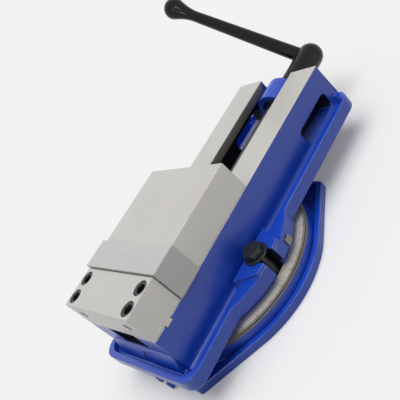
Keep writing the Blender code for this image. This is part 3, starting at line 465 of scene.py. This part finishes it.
def index_steel():
    """The pointer plate's dull steel with its engraved line."""
    paint = Paint("index_plate_steel")
    _, across, _ = paint.turned(INDEX_AZIMUTH)
    line = (across * across) < INDEX_LINE ** 2
    cloud = paint.noise(scale=220.0)
    steel = paint.blend(cloud, *INDEX_SHADES)
    return paint.finish(Base_Color=paint.blend(line, steel, INDEX_INK), Metallic=0.5,
                        Roughness=varied(cloud, least=0.35, spread=0.2))


def mottled(name, shades, roughness, metal=0.0, scale=140.0, relief=0.10, sheen=0.5):
    """A black or dark finish with a faint mottle. sheen is the strength of its reflections."""
    paint = Paint(name)
    cloud = paint.noise(scale)
    pores = paint.noise(scale * PORES, detail=2.0)
    return paint.finish(Base_Color=paint.blend(cloud, *shades), Metallic=metal, Specular_IOR_Level=sheen,
                        Roughness=varied(cloud, least=roughness, spread=0.14),
                        Normal=paint.bump(pores, strength=relief))


BLUE = enamel()
RAIL_STEEL = ground("ground_rails", STEEL_SHADES, along=0)
JAW_STEEL = ground("ground_jaws", STEEL_SHADES, along=1)
# Painted shade: the slot walls' ground steel, darkened
SHADED_SLOT_STEEL = ground("oiled_slot_walls", SLOT_SHADES, along=0)
PLATE_STEEL = ground("ground_plates", PLATE_SHADES, along=1, metal=0.16, contrast=0.06)
TURNED_STEEL = ground("turned_steel", TURNED_SHADES, along=1, roughness=0.30, metal=0.85)
SCREW_STEEL = ground("oiled_screw_steel", SCREW_SHADES, along=1, metal=0.85)
INDEX_STEEL = index_steel()
RING_STEEL = turned_ring()
BLACK = mottled("black_oxide", OXIDE_SHADES, roughness=0.28, metal=0.6)
CRANK = mottled("crank_satin_black", CRANK_SHADES, roughness=0.13, scale=90.0, relief=0.03, sheen=0.26)
INK = mottled("scale_ink", INK_SHADES, roughness=0.5)
# The groove's wall: oil and painted shade
GROOVE_OIL_AND_SHADE = mottled("oil_darkened_groove", GROOVE_OIL_AND_SHADE_COLOURS, roughness=0.5, metal=0.2)
# Painted shade: the dark navy of the bed's hollows, the apron's hole and the clamp slots
CAVITY_SHADE = mottled("dark_primer", CAVITY_SHADE_COLOURS, roughness=0.55, scale=60.0, sheen=0.2)

# Pieces that keep the solids' own shapes
PLAIN_PIECES = {
    "bearing_cage": TURNED_STEEL,
    "bearing_race_inner": TURNED_STEEL,
    "bearing_race_outer": TURNED_STEEL,
    "clamp_t_nut_far": BLACK,
    "clamp_t_nut_near": BLACK,
    "jaw_adjuster": BLACK,
    "lock_ball": PLATE_STEEL,
    "pivot_pin": TURNED_STEEL,
    "screw_nut": BLUE,
    "stop_ring": BLACK,
    "thrust_collar": TURNED_STEEL,
}


def dress(obj, *materials):
    """Give an object its materials."""
    obj.data.materials.clear()
    for material in materials:
        obj.data.materials.append(material)


def added(name, data, *materials):
    """A new object at the origin, of a mesh or another kind of data."""
    obj = bpy.data.objects.new(name, data)
    bpy.context.scene.collection.objects.link(obj)
    if materials:
        dress(obj, *materials)
    return obj


def plain(obj):
    """The mesh of an object with its modifiers applied. The object is removed."""
    bpy.context.view_layer.update()
    graph = bpy.context.evaluated_depsgraph_get()
    mesh = bpy.data.meshes.new_from_object(obj.evaluated_get(graph))
    bpy.data.objects.remove(obj, do_unlink=True)
    return mesh


def mesh_of(bm, name):
    """A bmesh as a new mesh. The bmesh is freed."""
    mesh = bpy.data.meshes.new(name)
    bm.to_mesh(mesh)
    bm.free()
    return mesh


def mounted(name, mesh, body, slot, nodes, *materials):
    """A finished piece that rides on a body and stands for its nodes."""
    obj = added(name, mesh, *materials)
    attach(obj, body)
    if nodes:
        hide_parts(*nodes)
    return obj


def flattened(bm):
    """Make the flat faces of a bmesh whole and cut them into as few triangles as they need."""
    bmesh.ops.dissolve_limit(bm, angle_limit=FLAT_ANGLE, verts=bm.verts, edges=bm.edges)
    bmesh.ops.triangulate(bm, faces=bm.faces)


def welded(node, keep=None):
    """A welded copy of a node's mesh, as a bmesh. keep is the plane that it is cut at."""
    bm = bmesh.new()
    bm.from_mesh(NODES[node].data)
    bmesh.ops.remove_doubles(bm, verts=bm.verts, dist=WELD)
    if keep:
        point, normal = keep
        bmesh.ops.bisect_plane(bm, geom=bm.verts[:] + bm.edges[:] + bm.faces[:], plane_co=point,
                               plane_no=normal, clear_inner=True)
        bmesh.ops.holes_fill(bm, edges=bm.edges)
    flattened(bm)
    return bm


def smoothed(mesh, angle=SMOOTH_ANGLE):
    """A mesh shaded smooth under an angle, with its large flat faces kept flat."""
    mesh.shade_smooth()
    mesh.set_sharp_from_angle(angle=angle)
    obj = added("smoothed", mesh)
    weighted = obj.modifiers.new("flat_faces", "WEIGHTED_NORMAL")
    weighted.keep_sharp = True
    weighted.weight = FLAT_WEIGHT
    return plain(obj)


def softened(bm, radius):
    """A mesh with its edges rounded. radius is one value, or gives one for each edge."""
    layer = bm.edges.layers.float.new("bevel_weight_edge")
    radii = {}
    for edge in bm.edges:
        if len(edge.link_faces) == 2 and edge.calc_face_angle(0.0) > EDGE_ANGLE:
            radii[edge] = radius(edge) if callable(radius) else radius
    width = max(radii.values())
    for edge, value in radii.items():
        edge[layer] = value / width
    obj = added("softened", mesh_of(bm, "softened"))
    bevel = obj.modifiers.new("edges", "BEVEL")
    bevel.limit_method = "WEIGHT"
    bevel.width = width
    bevel.segments = EDGE_SEGMENTS
    bevel.use_clamp_overlap = False
    bevel.loop_slide = False
    return smoothed(plain(obj))


def in_apron_hole(point):
    """Whether a point is in the small hole of the trough's front wall."""
    place, radius = APRON_HOLE
    return math.hypot(point.x - place, point.y) < radius + TOUCHING


def in_cavity(centre):
    """Whether a face is in the hollow under the rails, which ends at the boss between the webs."""
    between_webs = abs(centre.y) <= WEB_HALF + CLOSE
    end = (BOSS_START if between_webs else BED_END) - CLOSE
    along = BED_FRONT + INSIDE < centre.x < end
    across = abs(centre.y) < BED_HALF - WELL_INSIDE
    return along and across and CAVITY_FLOOR - CLOSE < centre.z < LIP_BOTTOM + CLOSE


def in_clamp_slot(centre, normal):
    """Whether a face is a wall of a slot that a clamp bolt stands in."""
    across = abs(centre.x) < CLAMP_SLOT_HALF + TOUCHING and abs(centre.y) > BED_HALF
    return across and abs(normal.z) < HALFWAY and centre.z < PAD_TOP - WELL_INSIDE


def bed_finish(centre, normal):
    """Ground steel on the rails, steel darkened as painted shade on the slot walls, a dark navy as painted
    shade in the cavities, the apron's hole and the clamp slots, enamel elsewhere.
    """
    # The apron's hole is painted shade
    if in_apron_hole(centre):
        return DARK
    if normal.z > SQUARE and abs(centre.z - SILL) < MACHINED_EDGE:
        return PAINTED
    if centre.z > BED_TOP - MACHINED_EDGE and normal.z > LEANING:
        return MACHINED
    # The slot walls under the rails' lips: steel darkened as painted shade
    in_slot = abs(centre.y) < SLOT_HALF + MACHINED_EDGE and centre.z > LIP_BOTTOM - GROUND_EDGE
    if in_slot and abs(normal.y) > SQUARE:
        return SHADED_WALL
    # The hollows and the clamp slots are painted shade
    return DARK if in_cavity(centre) or in_clamp_slot(centre, normal) else PAINTED


def base_finish(centre, normal):
    """Turned steel on the ring's top and its ledge, with the groove's wall between them dark from oil and
    painted shade; enamel elsewhere.
    """
    if math.hypot(centre.x, centre.y) > DISC_RADIUS + LEDGE_WIDTH or centre.z < DISC_TOP - LEDGE_DROP:
        return PAINTED
    # The wall between the ring's top and its ledge: oil and painted shade
    return DARK if centre.z < DISC_TOP - GROUND_EDGE and normal.z < HALFWAY else MACHINED


def on_end_face(edge, end):
    """Whether an edge lies in a flat end of the bed, beside its web."""
    return all(abs(vert.co.x - end) < TOUCHING and abs(vert.co.y) > WEB_HALF
               and vert.co.z < BED_TOP - INSIDE for vert in edge.verts)


def base_radius(edge):
    """The rounding of an edge of the base: smaller beside steel."""
    steel = [base_finish(face.calc_center_median(), face.normal) == MACHINED for face in edge.link_faces]
    return MACHINED_EDGE if any(steel) else CAST_EDGE


def bed_radius(edge):
    """The rounding of an edge of the bed: none at its end faces and in the apron's hole."""
    in_hole = all(in_apron_hole(vert.co) for vert in edge.verts)
    if in_hole or on_end_face(edge, BED_FRONT) or on_end_face(edge, BED_END):
        return 0.0
    finishes = [bed_finish(face.calc_center_median(), face.normal) for face in edge.link_faces]
    return MACHINED_EDGE if MACHINED in finishes or SHADED_WALL in finishes else CAST_EDGE


def level_rims(bm):
    """Carry the trough's rims at their full height past the windows."""
    for vert in bm.verts:
        if abs(vert.co.y) > RIM_INSIDE and SILL - CLOSE < vert.co.z < RIM_TOP:
            vert.co.z = RIM_TOP
    bmesh.ops.remove_doubles(bm, verts=bm.verts, dist=RIM_WELD)
    bmesh.ops.dissolve_degenerate(bm, edges=bm.edges, dist=WELD)
    flattened(bm)


def castings():
    """The bed and the base with the soft edges of sand castings and crisp machined ones."""
    bed = welded("bed_casting")
    level_rims(bed)
    base = welded("swivel_base")
    for node, mesh, body, slot, finish, trims in (
        ("bed_casting", softened(bed, bed_radius), "vise", "bed_paint_and_ground_rails", bed_finish,
         (RAIL_STEEL, CAVITY_SHADE, SHADED_SLOT_STEEL)),
        ("swivel_base", softened(base, base_radius), "base", "base_paint_and_ground_disc", base_finish,
         (RING_STEEL, GROOVE_OIL_AND_SHADE)),
    ):
        casting = mounted(f"{node}_fine", mesh, body, slot, [node], BLUE, *trims)
        for polygon in casting.data.polygons:
            polygon.material_index = finish(polygon.center, polygon.normal)


def machined_pieces():
    """Jaws, bolts and washers with their edges broken."""
    jaw = "ground_jaw_steel"
    black = "black_oxide_steel"
    for node, body, slot, material in (
        ("fixed_jaw", "vise", jaw, JAW_STEEL),
        ("movable_jaw", "jaw", jaw, JAW_STEEL),
        ("clamp_bolt_near", "clamp_near", black, BLACK),
        ("clamp_bolt_far", "clamp_far", black, BLACK),
        ("clamp_washer_near", "vise", black, BLACK),
        ("clamp_washer_far", "vise", black, BLACK),
    ):
        mounted(f"{node}_fine", softened(welded(node), GROUND_EDGE), body, slot, [node], material)


def jaw_plates():
    """The two hardened plates: sharp and all but touching where they grip, eased elsewhere."""
    def gripping(vert):
        """Whether a corner lies in a gripping face."""
        return abs(vert.co.x - PLATES_MEET) < TOUCHING

    def radius(edge):
        """The rounding of an edge: next to none where two gripping corners meet."""
        return GRIP_EDGE if all(gripping(vert) for vert in edge.verts) else GROUND_EDGE

    for node, body, sign in (("fixed_jaw_plate", "vise", -1), ("movable_jaw_plate", "jaw", 1)):
        bm = welded(node)
        for vert in bm.verts:
            if gripping(vert):
                vert.co.x = PLATES_MEET + sign * GRIP_EDGE / 2
        mounted(f"{node}_fine", softened(bm, radius), body, "hardened_plate_steel", [node], PLATE_STEEL)


def index_plate():
    """The pointer plate on the wing's edge, a little smaller than its solid."""
    bm = welded("index_plate")
    low = min(vert.co.z for vert in bm.verts)
    turn = Matrix.Rotation(INDEX_AZIMUTH, 4, "Z")
    bmesh.ops.transform(bm, matrix=turn.inverted(), verts=bm.verts)
    for vert in bm.verts:
        vert.co.y *= INDEX_SHRINK[0]
        vert.co.z = low + (vert.co.z - low) * INDEX_SHRINK[1]
    bmesh.ops.transform(bm, matrix=turn, verts=bm.verts)
    mesh = softened(bm, GROUND_EDGE / 2)
    mounted("index_plate_fine", mesh, "vise", "index_steel", ["index_plate"], INDEX_STEEL)


def crank():
    """The forged crank: hub, arm and grip under one smooth skin."""
    blank = added("crank_blank", mesh_of(welded("crank_handle"), "crank_blank"))
    remesh = blank.modifiers.new("skin", "REMESH")
    remesh.mode = "VOXEL"
    remesh.voxel_size = FORGED_GRAIN
    mesh = plain(blank)
    mesh.shade_smooth()
    mounted("crank_fine", mesh, "crank", "crank_black", ["crank_handle"], CRANK)


def thread(bm):
    """A left-hand trapezoidal thread from the screw's tip to its collar, added to a bmesh."""
    turns = round((THREAD_END - SCREW_TIP) / PITCH) + 2
    rows = []
    for step in range(turns * TURN_STEPS + 1):
        angle = 2 * math.pi * step / TURN_STEPS
        start = SCREW_TIP - PITCH + PITCH * step / TURN_STEPS
        row = []
        for share, radius in zip(THREAD_SHARES, THREAD_RADII):
            x = min(max(start + share * PITCH, SCREW_TIP), THREAD_END)
            row.append(bm.verts.new((x, -radius * math.sin(angle), SCREW_Z + radius * math.cos(angle))))
        rows.append(row)
    for low, high in zip(rows, rows[1:]):
        for i in range(len(THREAD_SHARES) - 1):
            bm.faces.new((low[i], low[i + 1], high[i + 1], high[i]))


def lead_screw():
    """The lead screw with its thread, journal and hexagon."""
    journal = welded("lead_screw", keep=((COLLAR_START, 0.0, 0.0), (-1.0, 0.0, 0.0)))
    bm = bmesh.new()
    bm.from_mesh(softened(journal, GROUND_EDGE))
    thread(bm)
    bmesh.ops.remove_doubles(bm, verts=bm.verts, dist=THREAD_WELD)
    bmesh.ops.dissolve_degenerate(bm, edges=bm.edges, dist=SLIVER)
    bmesh.ops.holes_fill(bm, edges=[edge for edge in bm.edges if edge.is_boundary])
    bmesh.ops.recalc_face_normals(bm, faces=bm.faces)
    mesh = smoothed(mesh_of(bm, "lead_screw"), TURNED_ANGLE)
    mounted("lead_screw_fine", mesh, "screw", "turned_screw_steel", ["lead_screw"], SCREW_STEEL)


def knurled_body(radius, head_radius, reach, head):
    """A cap screw before its socket is cut: shank, knurled head and chamfer, turned from a profile."""
    full = head_radius * KNURL_RADIUS
    knurl = head_radius * KNURL_DEPTH
    profile = (
        (-reach, radius * POINT_RADIUS, 0.0),
        (POINT_LENGTH - reach, radius, 0.0),
        (-SEAT_STEP, radius, 0.0),
        (0.0, full - knurl, 0.0),
        (KNURL_START, full, knurl),
        (head * KNURL_END, full, knurl),
        (head * KNURL_FADE, full - knurl, 0.0),
        (head - CROWN_DROP, head_radius * CROWN_RADIUS, 0.0),
        (head, head_radius * FACE_RADIUS, 0.0),
    )
    bm = bmesh.new()
    rings = []
    for height, wide, tooth in profile:
        ring = []
        for i in range(2 * KNURLS):
            outward = wide + (tooth if i % 2 else -tooth)
            angle = math.pi * i / KNURLS
            ring.append(bm.verts.new((outward * math.cos(angle), outward * math.sin(angle), height)))
        rings.append(ring)
    for low, high in zip(rings, rings[1:]):
        for i in range(len(low)):
            j = (i + 1) % len(low)
            bm.faces.new((low[i], low[j], high[j], high[i]))
    bm.faces.new(rings[0][::-1])
    bm.faces.new(rings[-1])
    return mesh_of(bm, "cap_screw")


def cap_screw(radius, head_radius, reach):
    """A socket-head screw along Z with its seat at 0, as an object."""
    head = 2 * radius
    screw = added("cap_screw", knurled_body(radius, head_radius, reach, head))
    across = radius * HEX_RADIUS
    mouth = [across * share for share in MOUTH_SHARES]
    for sides, floor, bottom, top in (
        (HEX_SIDES, head * HEX_FLOOR, across, across),
        (MOUTH_SIDES, head - MOUTH_DEPTH, *mouth),
    ):
        bm = bmesh.new()
        bmesh.ops.create_cone(bm, cap_ends=True, segments=sides, radius1=bottom, radius2=top, depth=head,
                              matrix=Matrix.Translation((0, 0, floor + head / 2)))
        tool = added("socket", mesh_of(bm, "socket"))
        cut = screw.modifiers.new("socket", "BOOLEAN")
        cut.operation = "DIFFERENCE"
        cut.object = tool
        mesh = plain(screw)
        bpy.data.objects.remove(tool, do_unlink=True)
        screw = added("cap_screw", mesh)
    mesh.shade_smooth()
    mesh.set_sharp_from_angle(angle=TURNED_ANGLE)
    return screw


def screw_rows():
    """A tree that sets a screw at each point of a grid."""
    tree = Shapes("screw_rows", Screw="Object", Rows="Int", Pitch="Float", Across="Float", Place="Vector",
                  Turn="Vector", Material="Material")
    given = tree.given
    grid = tree.node("GeometryNodeMeshGrid", {}, given["Pitch"], given["Across"], given["Rows"], 2)[0]
    placed = tree.node("GeometryNodeTransform", {}, grid, Translation=given["Place"])[0]
    screw = tree.node("GeometryNodeObjectInfo", {}, given["Screw"])[4]
    screws = tree.node("GeometryNodeInstanceOnPoints", {}, placed, Instance=screw, Rotation=given["Turn"])[0]
    return tree.out(screws)


def cap_screws():
    """The fixed jaw's four screws and the two of each jaw plate."""
    rows = screw_rows()
    sides = ("near", "far")
    jaw = [f"fixed_jaw_screw_{row}_{side}" for row in ("front", "rear") for side in sides]
    fixed_plate = [f"fixed_jaw_plate_screw_{side}" for side in sides]
    movable_plate = [f"movable_jaw_plate_screw_{side}" for side in sides]
    pitch, jaw_across, _ = JAW_SCREW_LAST - JAW_SCREW_FIRST
    plate_across = PLATE_SCREW_LAST.y - PLATE_SCREW_FIRST.y
    jaw_place = ((JAW_SCREW_FIRST.x + JAW_SCREW_LAST.x) / 2, 0.0, JAW_SCREW_SEAT)
    fixed_place = (PLATES_MEET - PLATE_SCREW_SINK, 0.0, PLATE_SCREW_FIRST.z)
    movable_place = (PLATES_MEET + PLATE_SCREW_SINK, 0.0, PLATE_SCREW_FIRST.z)
    quarter = math.pi / 2
    for name, body, nodes, size, count, across, place, turn in (
        ("fixed_jaw_screws", "vise", jaw, JAW_SCREW, 2, jaw_across, jaw_place, 0.0),
        ("fixed_plate_screws", "vise", fixed_plate, PLATE_SCREW, 1, plate_across, fixed_place, quarter),
        ("movable_plate_screws", "jaw", movable_plate, PLATE_SCREW, 1, plate_across, movable_place, -quarter),
    ):
        screw = cap_screw(*size)
        mesh = rows.run(Screw=screw, Rows=count, Pitch=pitch, Across=across, Place=place,
                        Turn=(0.0, turn, 0.0), Material=BLACK)
        bpy.data.objects.remove(screw, do_unlink=True)
        mounted(name, mesh, body, "black_oxide_steel", nodes, BLACK)


def swivel_scale():
    """The degree marks and the figures 0 to 90 round the ring, a thin layer of ink."""
    tree = Shapes("swivel_scale", Marks="Int", Start="Float", Zero="Float", Level="Float", Radius="Float",
                  Size="Float", Material="Material")
    given = tree.given
    index = tree.node("GeometryNodeInputIndex", {})[0]

    def around(count, angle, radius, instance, turn, scale=None):
        """Copies of a shape at angles round the swivel axis."""
        x = angle.cosine() * radius
        y = angle.sine() * radius
        spot = tree.node("ShaderNodeCombineXYZ", {}, x, y, given["Level"])[0]
        points = tree.node("GeometryNodePoints", {}, count, Position=spot)[0]
        rotation = tree.node("ShaderNodeCombineXYZ", {}, Z=angle + turn)[0]
        return tree.node("GeometryNodeInstanceOnPoints", {}, points, Instance=instance, Rotation=rotation,
                         Scale=scale)[0]

    def figure(label):
        """A number as a flat, closed layer of ink."""
        text = tree.node("GeometryNodeStringToCurves", {"align_x": "CENTER"}, str(label), given["Size"])[0]
        outline = tree.node("GeometryNodeRealizeInstances", {}, text)[0]
        face = tree.node("GeometryNodeFillCurve", {}, outline)[0]
        raised = tree.node("GeometryNodeExtrudeMesh", {}, face, Offset_Scale=MARK_DEPTH / 2,
                           Individual=False)[0]
        under = tree.node("GeometryNodeFlipFaces", {}, face)[0]
        both = tree.node("GeometryNodeJoinGeometry", {}, [raised, under])[0]
        return tree.node("GeometryNodeMergeByDistance", {}, both, Distance=SLIVER)[0]

    fives = (index % MIDDLE_EVERY) < 0.5
    tens = (index % LONG_EVERY) < 0.5
    length = fives * (MIDDLE_MARK - SHORT_MARK) + tens * (LONG_MARK - MIDDLE_MARK) + SHORT_MARK
    width = fives * (WIDE_MARK - MARK_WIDTH) + MARK_WIDTH
    size = tree.node("ShaderNodeCombineXYZ", {}, length, width, MARK_DEPTH)[0]
    cube = tree.node("GeometryNodeMeshCube", {}, (1.0, 1.0, 1.0))[0]
    bar = tree.node("GeometryNodeTransform", {}, cube, Translation=(0.5, 0.0, 0.0))[0]
    mark_angle = index * math.radians(360.0 / MARKS) + given["Zero"]
    parts = [around(given["Marks"], mark_angle, given["Start"], bar, 0.0, size)]
    for label in FIGURES:
        pairs = 1 if label % QUARTER_TURN == 0 else 2
        mirrored = index % float(pairs)
        angle = (index - mirrored) * (math.pi / pairs) - mirrored * math.radians(2 * label)
        angle = angle + given["Zero"] + math.radians(label)
        parts.append(around(2 * pairs, angle, given["Radius"], figure(label), math.pi / 2))
    tree.out(tree.node("GeometryNodeJoinGeometry", {}, parts)[0])
    mesh = tree.run(Marks=MARKS, Start=MARK_START, Zero=INDEX_AZIMUTH + BASE_TURN, Level=DISC_TOP,
                    Radius=FIGURE_RADIUS, Size=FIGURE_SIZE, Material=INK)
    mounted("swivel_scale", mesh, "base", "base_paint_and_ground_disc", [], INK)


def pale_floor():
    """A floor that throws back less light than it shows."""
    bm = bmesh.new()
    bmesh.ops.create_grid(bm, x_segments=1, y_segments=1, size=FLOOR_SIZE)
    mesh = mesh_of(bm, "floor")
    paint = Paint("pale_floor")
    seen = paint.seen_straight()
    material = paint.finish(Base_Color=paint.blend(seen, FLOOR_BOUNCE, FLOOR_SEEN), Roughness=1.0,
                            Specular_IOR_Level=0.0, Emission_Color=paint.blend(seen, NO_GLOW, FLOOR_GLOW),
                            Emission_Strength=1.0)
    floor = added("floor", mesh, material)


def pale_sky():
    """A world that looks pale and lights the vise at a plain level."""
    world = bpy.data.worlds.new("studio")
    world.use_nodes = True
    sky = Board(world.node_tree)
    background = world.node_tree.nodes["Background"]
    sky.feed(background.inputs["Color"], WHITE)
    sky.feed(background.inputs["Strength"], sky.seen_straight() * (SKY_SEEN - SKY) + SKY)
    bpy.context.scene.world = world


def lamps():
    """The soft sun, the pale wall and the small lamps, all turned to the origin."""
    sun = bpy.data.lights.new("overcast_sun", "SUN")
    sun.angle = SUN_ANGLE
    sun.energy = SUN_POWER
    wall = bpy.data.lights.new("pale_wall", "AREA")
    wall.shape = "DISK"
    wall.size = WALL_SIZE
    wall.energy = WALL_POWER
    placed = [(sun, Vector(SUN_FROM)), (wall, Vector(WALL_PLACE))]
    for azimuth, elevation, width, height, power in GLINT_LAMPS:
        glint = bpy.data.lights.new("glint", "AREA")
        glint.shape = "RECTANGLE"
        glint.size = width
        glint.size_y = height
        glint.energy = power
        round_z = Matrix.Rotation(math.radians(azimuth), 3, "Z")
        upward = Matrix.Rotation(math.radians(-elevation), 3, "Y")
        placed.append((glint, round_z @ upward @ Vector((GLINT_DISTANCE, 0.0, 0.0))))
    for lamp, place in placed:
        obj = added(lamp.name, lamp)
        obj.visible_camera = False
        obj.visible_diffuse = lamp is sun
        obj.visible_glossy = lamp is not sun
        obj.location = place
        obj.rotation_euler = (-place).to_track_quat("-Z", "Y").to_euler()


def camera():
    """The photograph's view: from above the near front corner, with the horizon turned."""
    data = bpy.data.cameras.new("view")
    data.sensor_width = SENSOR
    data.lens = LENS
    obj = added("view", data)
    obj.location = VIEW_FROM
    obj.rotation_euler = VIEW_TURN
    bpy.context.scene.camera = obj


for piece, look in PLAIN_PIECES.items():
    dress(NODES[piece], look)
castings()
machined_pieces()
jaw_plates()
index_plate()
cap_screws()
swivel_scale()
crank()
lead_screw()
pale_floor()
lamps()
pale_sky()
camera()
bpy.context.scene.view_settings.view_transform = "Standard"
